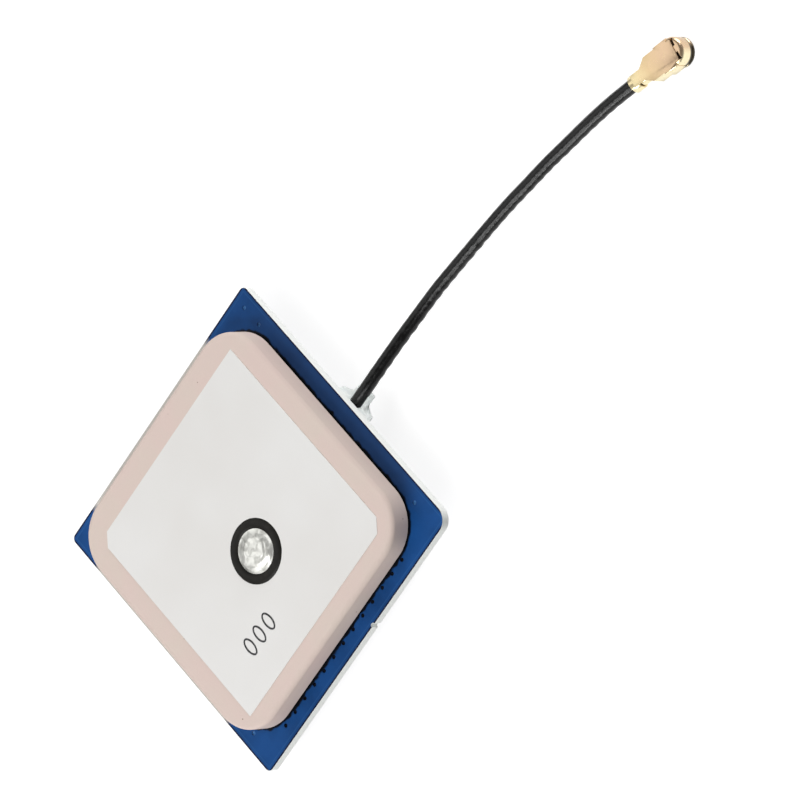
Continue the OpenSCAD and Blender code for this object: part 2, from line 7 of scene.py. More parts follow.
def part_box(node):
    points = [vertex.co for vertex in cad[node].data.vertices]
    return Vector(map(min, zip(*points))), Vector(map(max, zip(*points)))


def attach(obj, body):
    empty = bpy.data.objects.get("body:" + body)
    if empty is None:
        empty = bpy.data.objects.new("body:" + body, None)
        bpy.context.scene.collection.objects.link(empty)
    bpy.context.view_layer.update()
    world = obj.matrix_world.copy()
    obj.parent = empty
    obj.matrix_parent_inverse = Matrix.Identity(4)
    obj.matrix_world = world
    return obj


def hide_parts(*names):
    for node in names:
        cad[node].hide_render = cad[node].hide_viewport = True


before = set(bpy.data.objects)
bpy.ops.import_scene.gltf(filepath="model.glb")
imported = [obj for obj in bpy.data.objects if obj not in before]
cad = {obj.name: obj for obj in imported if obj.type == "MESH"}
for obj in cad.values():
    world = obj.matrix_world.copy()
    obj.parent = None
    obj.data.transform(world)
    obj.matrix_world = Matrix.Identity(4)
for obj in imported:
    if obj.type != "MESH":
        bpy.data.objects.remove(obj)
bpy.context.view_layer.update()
bpy.ops.object.select_all(action='DESELECT')
mm = 0.001   # the frame is in metres, the sizes below are in millimetres
print("frame loaded:", len(cad), "pieces from the model")

# small helpers


def hexColor(code):
    # colours are written as sRGB and turned to linear here
    parts = [int(code[i:i + 2], 16) / 255 for i in (1, 3, 5)]
    return tuple(p / 12.92 if p <= 0.04045 else ((p + 0.055) / 1.055) ** 2.4 for p in parts) + (1.0,)


def addNode(tree, kind, options=None, values=None, links=None):
    node = tree.nodes.new(kind)
    for name, value in (options or {}).items():
        setattr(node, name, value)
    for name, value in (values or {}).items():
        node.inputs[name].default_value = value
    for name, socket in (links or {}).items():
        tree.links.new(socket, node.inputs[name])
    return node


def startFinish(name, source='Object', scale=(1000, 1000, 1000), **shaderValues):
    # a material with its shader, and the place on the piece counted in millimetres
    material = bpy.data.materials.new(name)
    material.use_nodes = True
    tree = material.node_tree
    shader = tree.nodes["Principled BSDF"]
    for socket, value in shaderValues.items():
        shader.inputs[socket.replace('_', ' ')].default_value = value
    coords = addNode(tree, 'ShaderNodeTexCoord')
    place = addNode(tree, 'ShaderNodeMapping', values={'Scale': scale},
                    links={'Vector': coords.outputs[source]})
    return material, tree, shader, place.outputs['Vector']


def joinShader(tree, shader, **outputs):
    # leads finished outputs into the shader's sockets
    for socket, output in outputs.items():
        tree.links.new(output, shader.inputs[socket.replace('_', ' ')])


def setRamp(node, stops):
    # stops are (position, hex colour) pairs
    ramp = node.color_ramp
    while len(ramp.elements) < len(stops):
        ramp.elements.new(0.5)
    for element, (position, code) in zip(ramp.elements, stops):
        element.position = position
        element.color = hexColor(code)
    return node.outputs['Color']


def dress(piece, material):
    piece.data.materials.clear()
    piece.data.materials.append(material)


def onlyThis(piece):
    bpy.ops.object.select_all(action='DESELECT')
    piece.select_set(True)
    bpy.context.view_layer.objects.active = piece


def pickFaces(piece, wanted):
    # selects the faces that pass a test, in edit mode
    bpy.ops.mesh.select_all(action='DESELECT')
    mesh = bmesh.from_edit_mesh(piece.data)
    for face in mesh.faces:
        if wanted(face):
            face.select_set(True)
    mesh.select_flush_mode()
    bmesh.update_edit_mesh(piece.data)


def finishWith(piece, kind, **options):
    # adds one modifier and applies it
    modifier = piece.modifiers.new(kind.lower(), kind)
    for name, value in options.items():
        setattr(modifier, name, value)
    onlyThis(piece)
    bpy.ops.object.modifier_apply(modifier=modifier.name)


def workingCopy(node, name):
    # a copy of a node's mesh, with its loose triangles merged
    piece = bpy.data.objects.new(name, cad[node].data.copy())
    bpy.context.scene.collection.objects.link(piece)
    onlyThis(piece)
    bpy.ops.object.mode_set(mode='EDIT')
    bpy.ops.mesh.select_all(action='SELECT')
    bpy.ops.mesh.remove_doubles(threshold=0.0005 * mm)
    bpy.ops.object.mode_set(mode='OBJECT')
    return piece


def joinPieces(pieces, name):
    onlyThis(pieces[0])
    for piece in pieces[1:]:
        piece.select_set(True)
    bpy.ops.object.join()
    joined = bpy.context.object
    joined.name = name
    return joined


def clamp(value):
    return max(0.0, min(1.0, value))


def easeInOut(share):
    return share * share * (3 - 2 * share)


def facesUp(face):
    return face.normal.z > 0.9


def unevenAt(*place):
    # one value of a smooth noise, which each use reads at a place of its own
    return noise.noise(Vector(place))


# camera: far off and high, on the side of the lead and the feed

cameraSettings = dict(
    place=(281.92, 283.70, 484.75),
    lens=347.5,
    rightWay=(0.58997, 0.51296, -0.62354),
    upWay=(-0.66987, 0.74211, -0.02331),
    nearest=0.05,   # metres
    farthest=20,
)
rightWay = Vector(cameraSettings['rightWay'])
upWay = Vector(cameraSettings['upWay'])
backWay = rightWay.cross(upWay)
bpy.ops.object.camera_add(location=Vector(cameraSettings['place']) * mm,
                          rotation=Matrix((rightWay, upWay, backWay)).transposed().to_euler())
camera = bpy.context.object
camera.data.lens = cameraSettings['lens']
camera.data.clip_start = cameraSettings['nearest']
camera.data.clip_end = cameraSettings['farthest']
bpy.context.scene.camera = camera
print("camera placed")

# the coaxial lead: a black jacket drawn over a braid, so that it looks faintly lumpy

leadSettings = dict(
    diameter=1.13,
    length=39.7,
    route=[(0.2, 12.4, 1.9), (0.2, 15.4, 1.9), (0, 18, 1.568), (-0.2, 20.5, 1.169), (-0.35, 23, 0.77),
           (-0.35, 25.5, 0.597), (-0.15, 28, 0.57), (0.1, 30.5, 0.57), (0.35, 33, 0.57), (0.65, 35.5, 0.57),
           (1.05, 38, 0.57), (1.45, 40.5, 0.57), (1.95, 43, 0.579), (2.47, 45.47, 0.644), (3.1, 47.89, 0.791),
           (3.77, 50.12, 0.865), (4.22, 51.555, 0.865)],
    steps=22,          # points on each stretch of the route
    sides=28,
    thinning=0.05,     # the jacket is drawn a little thinner in the middle of its run
    plainStart=3.3,    # no lumps where the lead is glued
    plainEnd=1.2,      # nor where it is crimped
    fadeLength=1.5,
    lumpHeight=0.03,
    lumpPitch=1.15,
    lumpSlant=0.6,     # how the lumps wind round the lead
    lumpTurn=0.9,      # they show on one side, which rests on the braid's overlap
    lumpRest=0.12,     # what is left of them on the other side
    drift=1.6,         # the lay isn't quite regular
    driftScale=0.35,
    heavyMiddle=0.8,   # some stretches are lumpier than others
    heavySwing=0.9,
    heavyScale=0.3,
    dentShare=0.25,
    dentAlong=1.1,
    dentRound=0.8,
    ripplePitch=0.62,
)
route = [Vector(where) for where in leadSettings['route']]
line = []
for index in range(len(route) - 1):
    start, end = route[index], route[index + 1]
    before, after = route[max(index - 1, 0)], route[min(index + 2, len(route) - 1)]
    third = (end - start).length / 3
    line += geometry.interpolate_bezier(start, start + (end - before).normalized() * third,
                                        end - (after - start).normalized() * third, end,
                                        leadSettings['steps'])[:-1]
line.append(route[-1])
distances = [0.0]
for here, there in zip(line, line[1:]):
    distances.append(distances[-1] + (there - here).length)
fullLength = distances[-1]

tube = bmesh.new()
jacketMap = tube.loops.layers.uv.new("alongAndRound")
rings = []
for index, (where, distance) in enumerate(zip(line, distances)):
    heading = (line[min(index + 1, len(line) - 1)] - line[max(index - 1, 0)]).normalized()
    across = heading.cross(Vector((0, 0, 1))).normalized()
    over = across.cross(heading)
    thinner = 1 - leadSettings['thinning'] * math.sin(math.pi * distance / fullLength)
    fade = clamp(min((distance - leadSettings['plainStart']) / leadSettings['fadeLength'],
                     (fullLength - leadSettings['plainEnd'] - distance) / leadSettings['fadeLength']))
    heavy = unevenAt(distance * leadSettings['heavyScale'], 7.7, 2.2)
    fade *= leadSettings['heavyMiddle'] + leadSettings['heavySwing'] * heavy
    drift = leadSettings['drift'] * unevenAt(distance * leadSettings['driftScale'], 3.1, 0.7)
    ring = []
    for side in range(leadSettings['sides']):
        # starts below, where the map's seam is out of sight
        turn = 2 * math.pi * side / leadSettings['sides'] - math.pi / 2
        lay = math.sin(2 * math.pi * distance / leadSettings['lumpPitch']
                       + leadSettings['lumpSlant'] * turn + drift)
        onSide = max(0.0, math.cos(turn + leadSettings['lumpTurn'])) ** 2
        lay *= leadSettings['lumpRest'] + (1 - leadSettings['lumpRest']) * onSide
        dent = unevenAt(distance * leadSettings['dentAlong'], math.cos(turn) * leadSettings['dentRound'],
                        math.sin(turn) * leadSettings['dentRound'])
        lump = leadSettings['lumpHeight'] * fade * (lay + leadSettings['dentShare'] * dent)
        radius = leadSettings['diameter'] / 2 * thinner + lump
        outward = across * math.cos(turn) + over * math.sin(turn)
        ring.append(tube.verts.new((where + outward * radius) * mm))
    rings.append(ring)
for index, (near, far) in enumerate(zip(rings, rings[1:])):
    for side in range(leadSettings['sides']):
        other = (side + 1) % leadSettings['sides']
        face = tube.faces.new((near[side], near[other], far[other], far[side]))
        face.smooth = True
        for loop, (step, place) in zip(face.loops, ((0, side), (0, side + 1), (1, side + 1), (1, side))):
            loop[jacketMap].uv = (distances[index + step] / fullLength, place / leadSettings['sides'])
tube.faces.new(rings[0])
tube.faces.new(list(reversed(rings[-1])))
bmesh.ops.recalc_face_normals(tube, faces=tube.faces)
leadMesh = bpy.data.meshes.new("coaxialLead")
tube.to_mesh(leadMesh)
tube.free()
lead = bpy.data.objects.new("coaxial_lead", leadMesh)
bpy.context.scene.collection.objects.link(lead)
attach(lead, "root")
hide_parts("cable_jacket")
print("lead laid:", round(fullLength, 2), "mm long")

# the floor and the light

stageSettings = dict(
    floorSize=3.0,          # metres
    floorDrop=0.03,
    floorColor='#A0A0A0',
    floorGlow=0.82,
    horizonStrength=0.34,   # the room is a little lighter towards the horizon
    zenithStrength=0.2,
    # each lamp: place, width, height, power
    lamps=dict(key=((302, -327, 227), 240, 150, 1.08), top=((185, -225, 405), 280, 170, 0.95),
               fill=((-243, 420, 121), 220, 220, 1.84), back=((-275, -165, 385), 420, 420, 0.57)),
)
bpy.ops.mesh.primitive_plane_add(size=stageSettings['floorSize'],
                                 location=(0, 0, -stageSettings['floorDrop'] * mm))
floor = bpy.context.object
floor.name = "floor"

paper = bpy.data.materials.new("matteWhitePaper")
paper.use_nodes = True
tree = paper.node_tree
tree.nodes.clear()
rays = addNode(tree, 'ShaderNodeLightPath')
seen = addNode(tree, 'ShaderNodeMath', {'operation': 'MAXIMUM'},
               links={0: rays.outputs['Is Camera Ray'], 1: rays.outputs['Is Glossy Ray']})
seen = addNode(tree, 'ShaderNodeMath', {'operation': 'MAXIMUM'},
               links={0: seen.outputs[0], 1: rays.outputs['Is Transmission Ray']})
matte = addNode(tree, 'ShaderNodeBsdfDiffuse', values={'Color': hexColor(stageSettings['floorColor'])})
glow = addNode(tree, 'ShaderNodeEmission', values={'Color': (stageSettings['floorGlow'],) * 3 + (1,)},
               links={'Strength': seen.outputs[0]})
both = addNode(tree, 'ShaderNodeAddShader', links={0: matte.outputs[0], 1: glow.outputs[0]})
addNode(tree, 'ShaderNodeOutputMaterial', links={'Surface': both.outputs[0]})
dress(floor, paper)

world = bpy.data.worlds.new("studioWhite")
bpy.context.scene.world = world
world.use_nodes = True
tree = world.node_tree
tree.nodes.clear()
rays = addNode(tree, 'ShaderNodeLightPath')
seen = addNode(tree, 'ShaderNodeMath', {'operation': 'MAXIMUM'},
               links={0: rays.outputs['Is Camera Ray'], 1: rays.outputs['Is Transmission Ray']})
coords = addNode(tree, 'ShaderNodeTexCoord')
direction = addNode(tree, 'ShaderNodeSeparateXYZ', links={'Vector': coords.outputs['Generated']})
gradient = addNode(tree, 'ShaderNodeMapRange',
                   values={'To Min': stageSettings['horizonStrength'],
                           'To Max': stageSettings['zenithStrength']},
                   links={'Value': direction.outputs['Z']})
strength = addNode(tree, 'ShaderNodeMix', values={'B': 1.0},
                   links={'Factor': seen.outputs[0], 'A': gradient.outputs[0]})
sky = addNode(tree, 'ShaderNodeBackground', values={'Color': (1, 1, 1, 1)},
              links={'Strength': strength.outputs[0]})
addNode(tree, 'ShaderNodeOutputWorld', links={'Surface': sky.outputs[0]})

for name, (place, width, height, power) in stageSettings['lamps'].items():
    place = Vector(place) * mm
    bpy.ops.object.light_add(type='AREA', location=place, rotation=place.to_track_quat('Z', 'Y').to_euler())
    lamp = bpy.context.object
    lamp.name = name + "Lamp"
    lamp.data.shape = 'RECTANGLE'
    lamp.data.size = width * mm
    lamp.data.size_y = height * mm
    lamp.data.energy = power

bpy.context.scene.view_settings.view_transform = 'Standard'
print("stage and light set")

# in the finishes below a pattern's scale is counted in repeats per millimetre

# fired dielectric ceramic: dry and fine, with faint pinkish clouding and a few pits
ceramicSettings = dict(
    tones=[(0.35, '#DCC8C0'), (0.65, '#DACAC0')],
    cloudScale=0.28,
    gritScale=11.0,          # a grit of 0.09 mm
    gritShare=0.10,
    gritRelief=0.006,
    pitScale=0.42,           # a pit in every 2.4 mm
    pitEdge=(0.02, 0.035),   # where a pit's wall starts and ends
    pitTone='#9C8478',
)
ceramic, tree, shader, place = startFinish("firedDielectricCeramic", Roughness=0.7, Specular_IOR_Level=0.2)
clouds = addNode(tree, 'ShaderNodeTexNoise',
                 values={'Scale': ceramicSettings['cloudScale'], 'Detail': 3.0, 'Roughness': 0.5},
                 links={'Vector': place})
tone = setRamp(addNode(tree, 'ShaderNodeValToRGB', links={'Fac': clouds.outputs['Fac']}),
               ceramicSettings['tones'])
grit = addNode(tree, 'ShaderNodeTexNoise',
               values={'Scale': ceramicSettings['gritScale'], 'Detail': 4.0, 'Roughness': 0.7},
               links={'Vector': place})
speckled = addNode(tree, 'ShaderNodeMix', {'data_type': 'RGBA', 'blend_type': 'MULTIPLY'},
                   {0: ceramicSettings['gritShare']}, {6: tone, 7: grit.outputs['Fac']})
pits = addNode(tree, 'ShaderNodeTexVoronoi', values={'Scale': ceramicSettings['pitScale'], 'Randomness': 1.0},
               links={'Vector': place})
pitShare = addNode(tree, 'ShaderNodeMapRange',
                   values={'From Min': ceramicSettings['pitEdge'][0],
                           'From Max': ceramicSettings['pitEdge'][1],
                           'To Min': 1.0, 'To Max': 0.0},
                   links={'Value': pits.outputs['Distance']})
pitted = addNode(tree, 'ShaderNodeMix', {'data_type': 'RGBA'}, {7: hexColor(ceramicSettings['pitTone'])},
                 {0: pitShare.outputs[0], 6: speckled.outputs[2]})
relief = addNode(tree, 'ShaderNodeBump',
                 values={'Strength': 0.5, 'Distance': ceramicSettings['gritRelief'] * mm},
                 links={'Height': grit.outputs['Fac']})
joinShader(tree, shader, Base_Color=pitted.outputs[2], Normal=relief.outputs[0])
dress(cad["ceramic_block"], ceramic)

# fired silver paste: a soft white metal skin, slightly uneven where the screen lifted
silverSettings = dict(
    tones=[(0.3, '#E1DFDC'), (0.7, '#E6E5E3')],
    cloudScale=0.12,
    screenScale=9.0,         # a screen grain of 0.11 mm
    screenShare=0.05,
    screenRelief=0.004,
    gloss=(0.6, 0.72),
)
silver, tree, shader, place = startFinish("firedSilverPaste", Metallic=0.04, Roughness=0.65,
                                          Specular_IOR_Level=0.1)
clouds = addNode(tree, 'ShaderNodeTexNoise', values={'Scale': silverSettings['cloudScale'], 'Detail': 2.0},
                 links={'Vector': place})
tone = setRamp(addNode(tree, 'ShaderNodeValToRGB', links={'Fac': clouds.outputs['Fac']}),
               silverSettings['tones'])
screen = addNode(tree, 'ShaderNodeTexNoise',
                 values={'Scale': silverSettings['screenScale'], 'Detail': 5.0, 'Roughness': 0.75},
                 links={'Vector': place})
speckled = addNode(tree, 'ShaderNodeMix', {'data_type': 'RGBA', 'blend_type': 'MULTIPLY'},
                   {0: silverSettings['screenShare']}, {6: tone, 7: screen.outputs['Fac']})
relief = addNode(tree, 'ShaderNodeBump',
                 values={'Strength': 0.4, 'Distance': silverSettings['screenRelief'] * mm},
                 links={'Height': screen.outputs['Fac']})
gloss = addNode(tree, 'ShaderNodeMapRange',
                values={'To Min': silverSettings['gloss'][0], 'To Max': silverSettings['gloss'][1]},
                links={'Value': screen.outputs['Fac']})
joinShader(tree, shader, Base_Color=speckled.outputs[2], Normal=relief.outputs[0], Roughness=gloss.outputs[0])
dress(cad["patch_electrode"], silver)
dress(cad["ground_electrode"], silver)

# epoxy stop varnish: printed thick and cured dull black, with a little orange peel
varnishSettings = dict(
    tones=[(0.3, '#171614'), (0.7, '#211F1B')],
    peelScale=2.2,           # orange peel of 0.45 mm
    peelRelief=0.02,
    gloss=(0.5, 0.34),
)
varnish, tree, shader, place = startFinish("blackStopVarnish", Roughness=0.42, Specular_IOR_Level=0.18)
peel = addNode(tree, 'ShaderNodeTexNoise', values={'Scale': varnishSettings['peelScale'], 'Detail': 3.0},
               links={'Vector': place})
tone = setRamp(addNode(tree, 'ShaderNodeValToRGB', links={'Fac': peel.outputs['Fac']}),
               varnishSettings['tones'])
gloss = addNode(tree, 'ShaderNodeMapRange',
                values={'To Min': varnishSettings['gloss'][0], 'To Max': varnishSettings['gloss'][1]},
                links={'Value': peel.outputs['Fac']})
relief = addNode(tree, 'ShaderNodeBump',
                 values={'Strength': 0.3, 'Distance': varnishSettings['peelRelief'] * mm},
                 links={'Height': peel.outputs['Fac']})
joinShader(tree, shader, Base_Color=tone, Roughness=gloss.outputs[0], Normal=relief.outputs[0])
dress(cad["solder_stop_ring"], varnish)

# solder: bright and liquid-looking, with the frosty patches of quick cooling
solderSettings = dict(
    tones=[(0.34, '#BEBEB8'), (0.6, '#EEEEE8')],
    frostScale=1.3,          # patches of 0.8 mm
    frostRelief=0.06,
    gloss=(0.46, 0.3),
)
solder, tree, shader, place = startFinish("brightSolder", Metallic=0.75, Roughness=0.2)
frost = addNode(tree, 'ShaderNodeTexNoise',
                values={'Scale': solderSettings['frostScale'], 'Detail': 2.0, 'Roughness': 0.45,
                        'Distortion': 1.2},
                links={'Vector': place})
tone = setRamp(addNode(tree, 'ShaderNodeValToRGB', links={'Fac': frost.outputs['Fac']}),
               solderSettings['tones'])
gloss = addNode(tree, 'ShaderNodeMapRange',
                values={'To Min': solderSettings['gloss'][0], 'To Max': solderSettings['gloss'][1]},
                links={'Value': frost.outputs['Fac']})
relief = addNode(tree, 'ShaderNodeBump',
                 values={'Strength': 0.35, 'Distance': solderSettings['frostRelief'] * mm},
                 links={'Height': frost.outputs['Fac']})
joinShader(tree, shader, Base_Color=tone, Roughness=gloss.outputs[0], Normal=relief.outputs[0])
for name in ("pin_solder_tail", "can_solder", "braid_solder", "core_solder", "feed_pin"):
    dress(cad[name], solder)

# glass-epoxy board under blue solder mask: a smooth skin over the weave, and bare laminate on the sawn side
boardSettings = dict(
    halfSide=14.0,
    maskTones=[(0.35, '#0F4078'), (0.65, '#164B8A')],
    cloudScale=0.35,
    blockShadowTone='#1C3358',       # painted shadow of the block, darkening the strip beside the lead
    blockShadowFrom=12.2,
    blockShadowEnds=(8.0, 12.0),
    blockShadowShare=0.55,
    copperTone='#2A5C96',     # the copper's edge shows as a fine line
    copperIn=0.36,
    copperHalfWidth=0.035,
    copperShare=0.5,
    copperHidden=-0.9,        # it goes out in the block's painted shadow
    rimTone='#07173A',
    rimWidth=0.14,
    scuffTone='#C6C2BB',      # beside the block, the two far edges are scuffed grey
    scuffFrom=-13.65,
    scuffMiddle=-1.2,
    scuffHalf=(8.7, 9.6),
    footShadeTone='#05090F',       # painted contact shadow: a dark line along the block's foot and under the block
    footRadius=3.8,
    footShadeEdge=(4.16, 4.28),
    footShadeStray=0.5,
    footShadeScale=1.6,
    threadPitch=0.5,          # warp and weft show through the mask as a faint grid
    threadRelief=0.006,
    sideTones=[(0.3, '#F4F7F5'), (0.7, '#FDFEFA')],
    layerPitch=0.13,          # the sawn side shows the pressed layers of glass cloth
    layerShare=0.12,
    fibreScale=5.0,
    sideDepth=0.65,           # upright faces further in than this are the holes' walls
    holeShadeTone='#0C1F3D',       # painted shade: the holes' walls are coloured dark
)
board, tree, shader, place = startFinish("blueMaskedLaminate", Roughness=0.45, Specular_IOR_Level=0.12)
axes = addNode(tree, 'ShaderNodeSeparateXYZ', links={'Vector': place})
offX = addNode(tree, 'ShaderNodeMath', {'operation': 'ABSOLUTE'}, links={0: axes.outputs['X']})
offY = addNode(tree, 'ShaderNodeMath', {'operation': 'ABSOLUTE'}, links={0: axes.outputs['Y']})
outward = addNode(tree, 'ShaderNodeMath', {'operation': 'MAXIMUM'},
                  links={0: offX.outputs[0], 1: offY.outputs[0]})
fromEdge = addNode(tree, 'ShaderNodeMath', {'operation': 'SUBTRACT'}, {0: boardSettings['halfSide']},
                   {1: outward.outputs[0]})
clouds = addNode(tree, 'ShaderNodeTexNoise', values={'Scale': boardSettings['cloudScale'], 'Detail': 3.0},
                 links={'Vector': place})
blue = setRamp(addNode(tree, 'ShaderNodeValToRGB', links={'Fac': clouds.outputs['Fac']}),
               boardSettings['maskTones'])
# painted shadow: the block's shadow darkens the strip beside the lead and fades out towards the strip's ends
byLead = addNode(tree, 'ShaderNodeMath', {'operation': 'GREATER_THAN'}, {1: boardSettings['blockShadowFrom']},
                 {0: axes.outputs['Y']})
blockShadowEnds = addNode(tree, 'ShaderNodeMapRange',
                   values={'From Min': boardSettings['blockShadowEnds'][0], 'From Max': boardSettings['blockShadowEnds'][1],
                           'To Min': boardSettings['blockShadowShare'], 'To Max': 0.0},
                   links={'Value': offX.outputs[0]})
blockShadow = addNode(tree, 'ShaderNodeMath', {'operation': 'MULTIPLY'},
               links={0: byLead.outputs[0], 1: blockShadowEnds.outputs[0]})
blockShadowed = addNode(tree, 'ShaderNodeMix', {'data_type': 'RGBA'}, {7: hexColor(boardSettings['blockShadowTone'])},
                 {0: blockShadow.outputs[0], 6: blue})
copperLine = addNode(tree, 'ShaderNodeMath', {'operation': 'COMPARE'},
                     {1: boardSettings['copperIn'], 2: boardSettings['copperHalfWidth']},
                     {0: fromEdge.outputs[0]})
copperSeen = addNode(tree, 'ShaderNodeMath', {'operation': 'MULTIPLY_ADD'},
                     {1: boardSettings['copperHidden'], 2: boardSettings['copperShare']},
                     {0: blockShadow.outputs[0]})
lineShare = addNode(tree, 'ShaderNodeMath', {'operation': 'MULTIPLY'},
                    links={0: copperLine.outputs[0], 1: copperSeen.outputs[0]})
lined = addNode(tree, 'ShaderNodeMix', {'data_type': 'RGBA'}, {7: hexColor(boardSettings['copperTone'])},
                {0: lineShare.outputs[0], 6: blockShadowed.outputs[2]})
atRim = addNode(tree, 'ShaderNodeMath', {'operation': 'LESS_THAN'}, {1: boardSettings['rimWidth']},
                {0: fromEdge.outputs[0]})
rimmed = addNode(tree, 'ShaderNodeMix', {'data_type': 'RGBA'}, {7: hexColor(boardSettings['rimTone'])},
                 {0: atRim.outputs[0], 6: lined.outputs[2]})
least = addNode(tree, 'ShaderNodeMath', {'operation': 'MINIMUM'},
                links={0: axes.outputs['X'], 1: axes.outputs['Y']})
most = addNode(tree, 'ShaderNodeMath', {'operation': 'MAXIMUM'},
               links={0: axes.outputs['X'], 1: axes.outputs['Y']})
farSide = addNode(tree, 'ShaderNodeMath', {'operation': 'LESS_THAN'}, {1: boardSettings['scuffFrom']},
                  {0: least.outputs[0]})
alongSide = addNode(tree, 'ShaderNodeMath', {'operation': 'SUBTRACT'}, {1: boardSettings['scuffMiddle']},
                    {0: most.outputs[0]})
fromScuff = addNode(tree, 'ShaderNodeMath', {'operation': 'ABSOLUTE'}, links={0: alongSide.outputs[0]})
besideBlock = addNode(tree, 'ShaderNodeMapRange',
                      values={'From Min': boardSettings['scuffHalf'][0],
                              'From Max': boardSettings['scuffHalf'][1],
                              'To Min': 1.0, 'To Max': 0.0},
                      links={'Value': fromScuff.outputs[0]})
scuffShare = addNode(tree, 'ShaderNodeMath', {'operation': 'MULTIPLY'},
                     links={0: farSide.outputs[0], 1: besideBlock.outputs[0]})
scuffed = addNode(tree, 'ShaderNodeMix', {'data_type': 'RGBA'}, {7: hexColor(boardSettings['scuffTone'])},
                  {0: scuffShare.outputs[0], 6: rimmed.outputs[2]})
# the way out from the block's foot, whose corners are round
blockLow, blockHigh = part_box("ceramic_block")
blockMiddle = [(blockLow[i] + blockHigh[i]) / 2 / mm for i in (0, 1)]
straight = (blockHigh[0] - blockLow[0]) / 2 / mm - boardSettings['footRadius']
fromMiddle = addNode(tree, 'ShaderNodeVectorMath', {'operation': 'SUBTRACT'}, {1: (*blockMiddle, 0)},
                     {0: place})
quarter = addNode(tree, 'ShaderNodeVectorMath', {'operation': 'ABSOLUTE'}, links={0: fromMiddle.outputs[0]})
pastStraight = addNode(tree, 'ShaderNodeVectorMath', {'operation': 'SUBTRACT'}, {1: (straight, straight, 0)},
                       {0: quarter.outputs[0]})
beyond = addNode(tree, 'ShaderNodeVectorMath', {'operation': 'MAXIMUM'}, {1: (0, 0, 0)},
                 {0: pastStraight.outputs[0]})
inPlan = addNode(tree, 'ShaderNodeVectorMath', {'operation': 'MULTIPLY'}, {1: (1, 1, 0)},
                 {0: beyond.outputs[0]})
fromFoot = addNode(tree, 'ShaderNodeVectorMath', {'operation': 'LENGTH'}, links={0: inPlan.outputs[0]})
# painted shade: dark under the block and along its foot, with a ragged outer edge
ragged = addNode(tree, 'ShaderNodeTexNoise', values={'Scale': boardSettings['footShadeScale'], 'Detail': 2.0},
                 links={'Vector': place})
strayed = addNode(tree, 'ShaderNodeMath', {'operation': 'MULTIPLY_ADD'}, {1: boardSettings['footShadeStray']},
                  {0: ragged.outputs['Fac'], 2: fromFoot.outputs['Value']})
footShade = addNode(tree, 'ShaderNodeMapRange',
               values={'From Min': boardSettings['footShadeEdge'][0], 'From Max': boardSettings['footShadeEdge'][1],
                       'To Min': 1.0, 'To Max': 0.0},
               links={'Value': strayed.outputs[0]})
footShaded = addNode(tree, 'ShaderNodeMix', {'data_type': 'RGBA'}, {7: hexColor(boardSettings['footShadeTone'])},
                 {0: footShade.outputs[0], 6: scuffed.outputs[2]})
threads = []
for way in ('X', 'Y'):
    angle = addNode(tree, 'ShaderNodeMath', {'operation': 'MULTIPLY'},
                    {1: 2 * math.pi / boardSettings['threadPitch']}, {0: axes.outputs[way]})
    threads.append(addNode(tree, 'ShaderNodeMath', {'operation': 'SINE'}, links={0: angle.outputs[0]}))
cloth = addNode(tree, 'ShaderNodeMath', {'operation': 'MULTIPLY'},
                links={0: threads[0].outputs[0], 1: threads[1].outputs[0]})
relief = addNode(tree, 'ShaderNodeBump',
                 values={'Strength': 0.25, 'Distance': boardSettings['threadRelief'] * mm},
                 links={'Height': cloth.outputs[0]})
angle = addNode(tree, 'ShaderNodeMath', {'operation': 'MULTIPLY'},
                {1: 2 * math.pi / boardSettings['layerPitch']},
                {0: axes.outputs['Z']})
layers = addNode(tree, 'ShaderNodeMath', {'operation': 'SINE'}, links={0: angle.outputs[0]})
fibres = addNode(tree, 'ShaderNodeTexNoise', values={'Scale': boardSettings['fibreScale'], 'Detail': 4.0},
                 links={'Vector': place})
layered = addNode(tree, 'ShaderNodeMath', {'operation': 'MULTIPLY_ADD'}, {1: boardSettings['layerShare']},
                  {0: layers.outputs[0], 2: fibres.outputs['Fac']})
pale = setRamp(addNode(tree, 'ShaderNodeValToRGB', links={'Fac': layered.outputs[0]}),
               boardSettings['sideTones'])
# the mask lies on the two faces, and the pale laminate shows on the sides alone
surface = addNode(tree, 'ShaderNodeNewGeometry')
facing = addNode(tree, 'ShaderNodeSeparateXYZ', links={'Vector': surface.outputs['Normal']})
upright = addNode(tree, 'ShaderNodeMath', {'operation': 'ABSOLUTE'}, links={0: facing.outputs['Z']})
isFace = addNode(tree, 'ShaderNodeMath', {'operation': 'GREATER_THAN'}, {1: 0.5}, {0: upright.outputs[0]})
# painted shade: upright faces further in than the sawn side are the holes' walls, and they are coloured dark
isSide = addNode(tree, 'ShaderNodeMath', {'operation': 'LESS_THAN'}, {1: boardSettings['sideDepth']},
                 {0: fromEdge.outputs[0]})
wall = addNode(tree, 'ShaderNodeMix', {'data_type': 'RGBA'}, {6: hexColor(boardSettings['holeShadeTone'])},
               {0: isSide.outputs[0], 7: pale})
skin = addNode(tree, 'ShaderNodeMix', {'data_type': 'RGBA'},
               links={0: isFace.outputs[0], 6: wall.outputs[2], 7: footShaded.outputs[2]})
joinShader(tree, shader, Base_Color=skin.outputs[2], Normal=relief.outputs[0])
dress(cad["circuit_board"], board)

